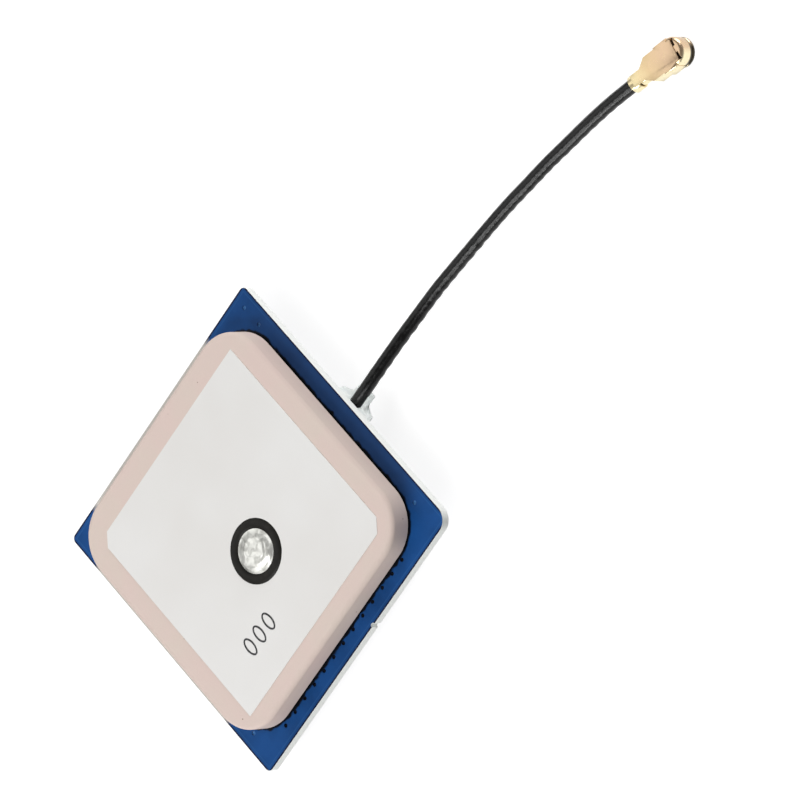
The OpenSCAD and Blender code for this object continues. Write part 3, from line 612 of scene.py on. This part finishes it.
# drawn tinplate: satin grey with fine rolling lines
tinplateSettings = dict(
    tones=[(0.3, '#B9BDBF'), (0.7, '#D0D3D4')],
    rolling=(0.6, 14.0, 6.0),   # lines 0.07 mm apart that run along X
    rollingRelief=0.004,
    gloss=(0.28, 0.42),
)
tinplate, tree, shader, place = startFinish("drawnTinplate", Metallic=1.0, Roughness=0.34)
stretched = addNode(tree, 'ShaderNodeMapping', values={'Scale': tinplateSettings['rolling']},
                    links={'Vector': place})
rolled = addNode(tree, 'ShaderNodeTexNoise', values={'Scale': 1.0, 'Detail': 5.0},
                 links={'Vector': stretched.outputs[0]})
tone = setRamp(addNode(tree, 'ShaderNodeValToRGB', links={'Fac': rolled.outputs['Fac']}),
               tinplateSettings['tones'])
gloss = addNode(tree, 'ShaderNodeMapRange',
                values={'To Min': tinplateSettings['gloss'][0], 'To Max': tinplateSettings['gloss'][1]},
                links={'Value': rolled.outputs['Fac']})
relief = addNode(tree, 'ShaderNodeBump',
                 values={'Strength': 0.3, 'Distance': tinplateSettings['rollingRelief'] * mm},
                 links={'Height': rolled.outputs['Fac']})
joinShader(tree, shader, Base_Color=tone, Roughness=gloss.outputs[0], Normal=relief.outputs[0])
dress(cad["shield_can"], tinplate)

# extruded fluoropolymer jacket: satin black, with the braid's lay pressed faintly through
jacketSettings = dict(
    tones=[(0.35, '#030303'), (0.7, '#0C0C0C')],
    strands=3,                 # turns of the lay's pattern round the jacket
    layShare=0.06,
    scuffStretch=(0.8, 2.0, 1),
    scuffScale=1.5,            # scuffs of about 0.8 mm, drawn out along the lead
    scuffRelief=0.07,
    gloss=(0.17, 0.32),
)
# the map's sides are made millimetres along and round the jacket
jacket, tree, shader, place = startFinish(
    "extrudedBlackJacket", source='UV', scale=(leadSettings['length'], math.pi * leadSettings['diameter'], 1),
    Roughness=0.24, Specular_IOR_Level=0.3)
axes = addNode(tree, 'ShaderNodeSeparateXYZ', links={'Vector': place})
lengthway = addNode(tree, 'ShaderNodeMath', {'operation': 'MULTIPLY'},
                    {1: 2 * math.pi / leadSettings['ripplePitch']},
                    {0: axes.outputs['X']})
roundway = addNode(tree, 'ShaderNodeMath', {'operation': 'MULTIPLY'},
                   {1: 2 * jacketSettings['strands'] / leadSettings['diameter']}, {0: axes.outputs['Y']})
lays = []
for operation in ('ADD', 'SUBTRACT'):
    slanted = addNode(tree, 'ShaderNodeMath', {'operation': operation},
                      links={0: lengthway.outputs[0], 1: roundway.outputs[0]})
    lays.append(addNode(tree, 'ShaderNodeMath', {'operation': 'SINE'}, links={0: slanted.outputs[0]}))
diamonds = addNode(tree, 'ShaderNodeMath', {'operation': 'ADD'},
                   links={0: lays[0].outputs[0], 1: lays[1].outputs[0]})
stretched = addNode(tree, 'ShaderNodeMapping', values={'Scale': jacketSettings['scuffStretch']},
                    links={'Vector': place})
scuffs = addNode(tree, 'ShaderNodeTexNoise',
                 values={'Scale': jacketSettings['scuffScale'], 'Detail': 5.0, 'Roughness': 0.6},
                 links={'Vector': stretched.outputs[0]})
tone = setRamp(addNode(tree, 'ShaderNodeValToRGB', links={'Fac': scuffs.outputs['Fac']}),
               jacketSettings['tones'])
gloss = addNode(tree, 'ShaderNodeMapRange',
                values={'From Min': 0.3, 'From Max': 0.7,
                        'To Min': jacketSettings['gloss'][0], 'To Max': jacketSettings['gloss'][1]},
                links={'Value': scuffs.outputs['Fac']})
uneven = addNode(tree, 'ShaderNodeMath', {'operation': 'MULTIPLY_ADD'}, {1: jacketSettings['layShare']},
                 {0: diamonds.outputs[0], 2: scuffs.outputs['Fac']})
relief = addNode(tree, 'ShaderNodeBump',
                 values={'Strength': 0.5, 'Distance': jacketSettings['scuffRelief'] * mm},
                 links={'Height': uneven.outputs[0]})
joinShader(tree, shader, Base_Color=tone, Roughness=gloss.outputs[0], Normal=relief.outputs[0])
dress(lead, jacket)

# gold flash over stamped phosphor bronze: warm and pinkish, with faint dents from the press
goldSettings = dict(
    socket=(5.417, 55.372, 0.2),   # the middle of the socket's mouth, where the plate's tone and the lip's painted shade are worked out from
    tones=[(0.1, '#DFCA9E'), (0.3, '#DABC9B'), (0.6, '#DEC398'), (0.85, '#EFDDAE')],
    toneRange=(0.6, 5.6),
    toneStray=1.2,
    dentScale=1.5,                 # dents of 0.7 mm
    dentRelief=0.03,
    gloss=(0.22, 0.36),
    lipShadeTone='#120804',             # painted shade and dark reflection on the socket's lower lip, darkest on one side
    lipHeights=(0.5, 0.62),
    lipShare=0.95,
    lipReach=1.4,
    darkestWay=(0.883, 0.469, 0),
    darkSideRange=(0.6, 1.0),
    darkSideLeast=0.3,
    litFlankTone='#FBF0C8',           # painted light: the flanks facing +X are coloured paler, as where the key lamp falls on them
    litFlankRange=(0.45, 0.8),
    litFlankShare=0.85,
)
gold, tree, shader, place = startFinish("goldFlashedBronze", Metallic=1.0, Roughness=0.24)
dents = addNode(tree, 'ShaderNodeTexNoise',
                values={'Scale': goldSettings['dentScale'], 'Detail': 3.0, 'Distortion': 0.5},
                links={'Vector': place})
fromSocket = addNode(tree, 'ShaderNodeVectorMath', {'operation': 'SUBTRACT'}, {1: goldSettings['socket']},
                     {0: place})
howFar = addNode(tree, 'ShaderNodeVectorMath', {'operation': 'LENGTH'}, links={0: fromSocket.outputs[0]})
strayed = addNode(tree, 'ShaderNodeMath', {'operation': 'MULTIPLY_ADD'}, {1: goldSettings['toneStray']},
                  {0: dents.outputs['Fac'], 2: howFar.outputs['Value']})
# the plate's tone changes with the distance from the socket; its paler, yellower far end at the crimp is
# painted light
toneAlongPlug = addNode(tree, 'ShaderNodeMapRange',
               values={'From Min': goldSettings['toneRange'][0], 'From Max': goldSettings['toneRange'][1]},
               links={'Value': strayed.outputs[0]})
plate = setRamp(addNode(tree, 'ShaderNodeValToRGB', links={'Fac': toneAlongPlug.outputs[0]}), goldSettings['tones'])
# painted light: faces turned towards +X are made paler
surface = addNode(tree, 'ShaderNodeNewGeometry')
facing = addNode(tree, 'ShaderNodeSeparateXYZ', links={'Vector': surface.outputs['Normal']})
flank = addNode(tree, 'ShaderNodeMapRange',
                values={'From Min': goldSettings['litFlankRange'][0], 'From Max': goldSettings['litFlankRange'][1],
                        'To Max': goldSettings['litFlankShare']},
                links={'Value': facing.outputs['X']})
flankLit = addNode(tree, 'ShaderNodeMix', {'data_type': 'RGBA'}, {7: hexColor(goldSettings['litFlankTone'])},
                    {0: flank.outputs[0], 6: plate})
axes = addNode(tree, 'ShaderNodeSeparateXYZ', links={'Vector': place})
# painted shade: the socket's lower lip is darkened near the socket, most of all on one side
lip = addNode(tree, 'ShaderNodeMapRange',
              values={'From Min': goldSettings['lipHeights'][0], 'From Max': goldSettings['lipHeights'][1],
                      'To Min': goldSettings['lipShare'], 'To Max': 0.0},
              links={'Value': axes.outputs['Z']})
atSocket = addNode(tree, 'ShaderNodeMath', {'operation': 'LESS_THAN'}, {1: goldSettings['lipReach']},
                   {0: howFar.outputs['Value']})
towardDarkSide = addNode(tree, 'ShaderNodeVectorMath', {'operation': 'DOT_PRODUCT'},
                    {1: goldSettings['darkestWay']},
                    {0: fromSocket.outputs[0]})
darkSide = addNode(tree, 'ShaderNodeMapRange',
                 values={'From Min': goldSettings['darkSideRange'][0],
                         'From Max': goldSettings['darkSideRange'][1],
                         'To Min': goldSettings['darkSideLeast']},
                 links={'Value': towardDarkSide.outputs['Value']})
lipOnly = addNode(tree, 'ShaderNodeMath', {'operation': 'MULTIPLY'},
                  links={0: lip.outputs[0], 1: atSocket.outputs[0]})
lipShade = addNode(tree, 'ShaderNodeMath', {'operation': 'MULTIPLY'},
               links={0: lipOnly.outputs[0], 1: darkSide.outputs[0]})
tone = addNode(tree, 'ShaderNodeMix', {'data_type': 'RGBA'}, {7: hexColor(goldSettings['lipShadeTone'])},
               {0: lipShade.outputs[0], 6: flankLit.outputs[2]})
gloss = addNode(tree, 'ShaderNodeMapRange',
                values={'To Min': goldSettings['gloss'][0], 'To Max': goldSettings['gloss'][1]},
                links={'Value': dents.outputs['Fac']})
relief = addNode(tree, 'ShaderNodeBump',
                 values={'Strength': 0.4, 'Distance': goldSettings['dentRelief'] * mm},
                 links={'Height': dents.outputs['Fac']})
joinShader(tree, shader, Base_Color=tone.outputs[2], Roughness=gloss.outputs[0], Normal=relief.outputs[0])
dress(cad["plug_contact"], gold)

# plain moulded and wound pieces, each with its grain
plainFinishes = dict(
    mouldedBlackResin=dict(colors=('#19191B', '#2A2A2D'), roughness=0.55, metallic=0.0, grain=6.0,
                           nodes=("plug_insulator", "first_amplifier", "second_amplifier")),
    gildedFilterLid=dict(colors=('#AE9C6E', '#C4B488'), roughness=0.35, metallic=0.6, grain=5.0,
                         nodes=("band_filter",)),
    bakedCapacitorBody=dict(colors=('#A6875F', '#BA9C74'), roughness=0.5, metallic=0.0, grain=14.0,
                            nodes=("chip_capacitors",)),
    woundInductorBody=dict(colors=('#36523F', '#48664F'), roughness=0.4, metallic=0.0, grain=10.0,
                           nodes=("chip_inductors",)),
    glazedResistorBody=dict(colors=('#222224', '#333336'), roughness=0.3, metallic=0.0, grain=10.0,
                            nodes=("chip_resistors",)),
    foamAdhesive=dict(colors=('#C2BCA9', '#D2CDBE'), roughness=0.85, metallic=0.0, grain=8.0,
                      nodes=("adhesive_pad",)),
    silveredBraidWire=dict(colors=('#B5AFA2', '#D6D2C8'), roughness=0.3, metallic=1.0, grain=12.0,
                           nodes=("cable_braid", "cable_core")),
    whiteDielectric=dict(colors=('#E2E0D9', '#EFEDE8'), roughness=0.45, metallic=0.0, grain=5.0,
                         nodes=("cable_dielectric",)),
)
for name, look in plainFinishes.items():
    plain, tree, shader, place = startFinish(name, Metallic=look['metallic'], Roughness=look['roughness'])
    grain = addNode(tree, 'ShaderNodeTexNoise',
                    values={'Scale': look['grain'], 'Detail': 4.0, 'Roughness': 0.65},
                    links={'Vector': place})
    tone = setRamp(addNode(tree, 'ShaderNodeValToRGB', links={'Fac': grain.outputs['Fac']}),
                   [(0.35, look['colors'][0]), (0.65, look['colors'][1])])
    relief = addNode(tree, 'ShaderNodeBump', values={'Strength': 0.4, 'Distance': 0.01 * mm},
                     links={'Height': grain.outputs['Fac']})
    joinShader(tree, shader, Base_Color=tone, Normal=relief.outputs[0])
    for node in look['nodes']:
        dress(cad[node], plain)
print("finishes set")

# solder over the feed pin: a shallow mound with the flat head showing through and a wrinkled skin

moundSettings = dict(
    radius=1.845,
    rim=0.03,
    rise=0.345,
    flank=0.56,
    corners=96,
    rings=40,
    # the solder ran out broad to one side: its way, how round it is there, how soon, width of its outer wall
    shoulder=dict(way=-22, roundness=0.55, within=0.9, wall=0.22),
    # the sunken face of the pin's head, sharp on one side and fading on the other
    dish=dict(middle=(-0.1, 0.16), radius=0.98, wall=0.3, depth=0.055, sharpWay=105, faintest=0.2),
    skinHeight=0.014,
    skinWaves=[(1.0, 1.4, 4.2), (0.4, 3.5, 1.7)],   # share, scale and layer of the noise
    # each wrinkle: middle, radius, width, depth, the way it faces and how far round it goes
    wrinkles=[((-0.3, -0.3), 0.5, 0.07, 0.035, -70, 80), ((-0.1, 0.16), 1.04, 0.085, 0.065, 25, 60),
              ((0.1, 0.3), 1.28, 0.09, 0.04, 100, 45), ((0.3, 0.25), 1.2, 0.08, 0.03, 20, 40)],
    wrinkleStart=3,   # how soon the wrinkles rise from the rim
    smoothAngle=55,
)
shoulder, dish = moundSettings['shoulder'], moundSettings['dish']
low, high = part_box("pin_solder_top")
feed = Vector(((low[0] + high[0]) / 2, (low[1] + high[1]) / 2, low[2])) / mm
bpy.ops.object.select_all(action='DESELECT')
bpy.ops.mesh.primitive_cylinder_add(vertices=moundSettings['corners'], radius=moundSettings['radius'] * mm,
                                    depth=moundSettings['rim'] * mm,
                                    location=(feed + Vector((0, 0, moundSettings['rim'] / 2))) * mm)
mound = bpy.context.object
mound.name = "solder_mound"
bpy.ops.object.transform_apply(location=True, rotation=True, scale=True)
bpy.ops.object.mode_set(mode='EDIT')
pickFaces(mound, facesUp)
for ring in range(moundSettings['rings']):
    bpy.ops.mesh.inset(thickness=moundSettings['radius'] / (moundSettings['rings'] + 1) * mm)
bpy.ops.mesh.poke()
bpy.ops.object.mode_set(mode='OBJECT')
shoulderWay = math.radians(shoulder['way'])
for vertex in mound.data.vertices:
    place = vertex.co / mm - feed
    if place.z < moundSettings['rim'] * 0.5:
        continue   # the underside stays flat
    # the dome, with its shoulder
    out = math.hypot(place.x, place.y) / moundSettings['radius']
    ahead = place.x * math.cos(shoulderWay) + place.y * math.sin(shoulderWay)
    aside = place.y * math.cos(shoulderWay) - place.x * math.sin(shoulderWay)
    aside *= 1 - (1 - shoulder['roundness']) * clamp(ahead / shoulder['within'])
    broad = math.hypot(ahead, aside) / moundSettings['radius']
    slope = clamp(min((1 - broad) / moundSettings['flank'], (1 - out) / shoulder['wall']))
    height = moundSettings['rim'] + (moundSettings['rise'] - moundSettings['rim']) * easeInOut(slope)
    # its uneven skin
    skin = sum(share * unevenAt(place.x * scale, place.y * scale, layer)
               for share, scale, layer in moundSettings['skinWaves'])
    height += slope * moundSettings['skinHeight'] * skin
    # the face of the pin's head
    away = Vector((place.x - dish['middle'][0], place.y - dish['middle'][1]))
    inside = clamp((dish['radius'] - away.length) / dish['wall'])
    offSharp = math.atan2(away.y, away.x) - math.radians(dish['sharpWay'])
    edge = dish['faintest'] + (1 - dish['faintest']) * math.cos(offSharp / 2) ** 2
    height -= dish['depth'] * edge * easeInOut(inside)
    for middle, radius, width, depth, facing, reach in moundSettings['wrinkles']:
        away = Vector((place.x - middle[0], place.y - middle[1]))
        offFacing = abs((math.degrees(math.atan2(away.y, away.x)) - facing + 180) % 360 - 180)
        share = max(0.0, 1 - (offFacing / reach) ** 2) * min(1.0, slope * moundSettings['wrinkleStart'])
        height -= depth * share * math.exp(-((away.length - radius) / width) ** 2)
    vertex.co.z = (feed.z + max(height, moundSettings['rim'])) * mm
onlyThis(mound)
bpy.ops.object.shade_smooth_by_angle(angle=math.radians(moundSettings['smoothAngle']))
dress(mound, solder)
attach(mound, "root")
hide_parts("pin_solder_top")
print("solder mound made")

# ink mark on the silver: three plain ovals, printed thin

inkSettings = dict(
    middle=(7.1, -4.85),
    pitch=1.42,
    height=1.75,
    width=0.95,
    stroke=0.16,
    lift=0.012,
    corners=56,
    tones=[(0.35, '#2A2A2C'), (0.7, '#4A4A4C')],
    patchScale=3.5,   # the ink is thin in patches of 0.3 mm
)
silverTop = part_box("patch_electrode")[1][2]
ovals = []
for step in (-1, 0, 1):
    bpy.ops.object.select_all(action='DESELECT')
    ovalPlace = (inkSettings['middle'][0] * mm,
                 (inkSettings['middle'][1] + step * inkSettings['pitch']) * mm, silverTop)
    bpy.ops.mesh.primitive_circle_add(vertices=inkSettings['corners'], radius=0.5 * mm, fill_type='NGON',
                                      location=ovalPlace)
    oval = bpy.context.object
    oval.scale = (inkSettings['height'], inkSettings['width'], 1)
    bpy.ops.object.transform_apply(location=True, rotation=True, scale=True)
    bpy.ops.object.mode_set(mode='EDIT')
    pickFaces(oval, lambda face: True)
    bpy.ops.mesh.inset(thickness=inkSettings['stroke'] * mm)
    bpy.ops.mesh.delete(type='ONLY_FACE')
    bpy.ops.mesh.select_all(action='SELECT')
    bpy.ops.mesh.extrude_region_move(TRANSFORM_OT_translate={"value": (0, 0, inkSettings['lift'] * mm)})
    bpy.ops.mesh.select_all(action='SELECT')
    bpy.ops.mesh.normals_make_consistent(inside=False)
    bpy.ops.object.mode_set(mode='OBJECT')
    ovals.append(oval)
inkMark = joinPieces(ovals, "ink_mark")

# stamped black ink: dull, and a little grey where it is thin
ink, tree, shader, place = startFinish("stampedBlackInk", Roughness=0.55, Specular_IOR_Level=0.3)
patches = addNode(tree, 'ShaderNodeTexNoise', values={'Scale': inkSettings['patchScale'], 'Detail': 3.0},
                  links={'Vector': place})
tone = setRamp(addNode(tree, 'ShaderNodeValToRGB', links={'Fac': patches.outputs['Fac']}),
               inkSettings['tones'])
joinShader(tree, shader, Base_Color=tone)
dress(inkMark, ink)
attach(inkMark, "root")
print("ink mark made")

# mask plugs: the holes away from the two rows are filled with solder mask, which sank as it cured

maskPlugSettings = dict(
    diameter=0.37,
    depth=0.5,
    sink=0.06,
    steps=[(0.04, 0.012), (0.06, 0.035)],   # how far in and how far down each ring of the dimple goes
    outerPlace=12.7,                        # the holes' distances from the board's middle
    innerPlace=10.668,
    corners=24,
    smoothAngle=50,
    tones=[(0.35, '#27609F'), (0.65, '#3D7DBE')],
    cloudScale=4.0,
)
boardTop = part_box("circuit_board")[1][2]
filledHoles = [(xSide * maskPlugSettings['innerPlace'], ySide * maskPlugSettings['outerPlace'])
               for xSide in (-1, 1) for ySide in (-1, 1)]
filledHoles.append((-maskPlugSettings['outerPlace'], maskPlugSettings['outerPlace']))
plugMiddle = boardTop - (maskPlugSettings['sink'] + maskPlugSettings['depth'] / 2) * mm
maskPlugs = []
for x, y in filledHoles:
    bpy.ops.object.select_all(action='DESELECT')
    bpy.ops.mesh.primitive_cylinder_add(vertices=maskPlugSettings['corners'],
                                        radius=maskPlugSettings['diameter'] / 2 * mm,
                                        depth=maskPlugSettings['depth'] * mm,
                                        location=(x * mm, y * mm, plugMiddle))
    maskPlug = bpy.context.object
    bpy.ops.object.transform_apply(location=True, rotation=True, scale=True)
    bpy.ops.object.mode_set(mode='EDIT')
    pickFaces(maskPlug, facesUp)
    for inward, down in maskPlugSettings['steps']:
        bpy.ops.mesh.inset(thickness=inward * mm)
        bpy.ops.transform.translate(value=(0, 0, -down * mm))
    bpy.ops.object.mode_set(mode='OBJECT')
    bpy.ops.object.shade_smooth_by_angle(angle=math.radians(maskPlugSettings['smoothAngle']))
    maskPlugs.append(maskPlug)
viaFill = joinPieces(maskPlugs, "mask_plugs")

# cured blue mask: smoother, and coloured lighter than the board's mask as a painted highlight for the light
# each dimple catches
highlightedMask, tree, shader, place = startFinish("curedBlueMaskPaintedHighlight", Roughness=0.3, Specular_IOR_Level=0.3)
clouds = addNode(tree, 'ShaderNodeTexNoise', values={'Scale': maskPlugSettings['cloudScale'], 'Detail': 2.0},
                 links={'Vector': place})
tone = setRamp(addNode(tree, 'ShaderNodeValToRGB', links={'Fac': clouds.outputs['Fac']}),
               maskPlugSettings['tones'])
joinShader(tree, shader, Base_Color=tone)
dress(viaFill, highlightedMask)
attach(viaFill, "root")
print("mask plugs made")

# hot glue: the modelled bead, melted smooth

glueSettings = dict(
    voxel=0.07,
    softening=0.6,
    passes=12,
    tones=[(0.3, '#EEF4F2'), (0.7, '#F8FAF8')],
    milkScale=1.2,      # milky clouds of 0.8 mm
    skinRelief=0.03,
)
hotGlue = workingCopy("glue_bead", "hot_glue")
finishWith(hotGlue, 'REMESH', mode='VOXEL', voxel_size=glueSettings['voxel'] * mm)
finishWith(hotGlue, 'SMOOTH', factor=glueSettings['softening'], iterations=glueSettings['passes'])
bpy.ops.object.shade_smooth()

# clear hot glue: half clear and milky, with a soft skin
glue, tree, shader, place = startFinish("clearHotGlue", Roughness=0.55, Transmission_Weight=0.8, IOR=1.2)
milk = addNode(tree, 'ShaderNodeTexNoise', values={'Scale': glueSettings['milkScale'], 'Detail': 2.0},
               links={'Vector': place})
tone = setRamp(addNode(tree, 'ShaderNodeValToRGB', links={'Fac': milk.outputs['Fac']}),
               glueSettings['tones'])
relief = addNode(tree, 'ShaderNodeBump',
                 values={'Strength': 0.4, 'Distance': glueSettings['skinRelief'] * mm},
                 links={'Height': milk.outputs['Fac']})
joinShader(tree, shader, Base_Color=tone, Normal=relief.outputs[0])
dress(hotGlue, glue)
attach(hotGlue, "root")
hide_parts("glue_bead")
print("glue made")

# the plug's shell with its pressed edges softened

plugSettings = dict(
    edgeRadius=0.03,
    edgeSteps=2,
    flatAngle=1,      # faces that lie flatter than this become one
    edgeAngle=40,     # edges sharper than this are rounded
    smoothAngle=35,
)
stampedPlug = workingCopy("plug_shell", "stamped_plug")
bpy.ops.object.mode_set(mode='EDIT')
bpy.ops.mesh.select_all(action='SELECT')
bpy.ops.mesh.dissolve_limited(angle_limit=math.radians(plugSettings['flatAngle']))
bpy.ops.object.mode_set(mode='OBJECT')
finishWith(stampedPlug, 'BEVEL', width=plugSettings['edgeRadius'] * mm, segments=plugSettings['edgeSteps'],
           limit_method='ANGLE', angle_limit=math.radians(plugSettings['edgeAngle']))
bpy.ops.object.shade_smooth_by_angle(angle=math.radians(plugSettings['smoothAngle']))
dress(stampedPlug, gold)
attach(stampedPlug, "root")
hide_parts("plug_shell")
print("plug shell softened")

bpy.context.view_layer.update()
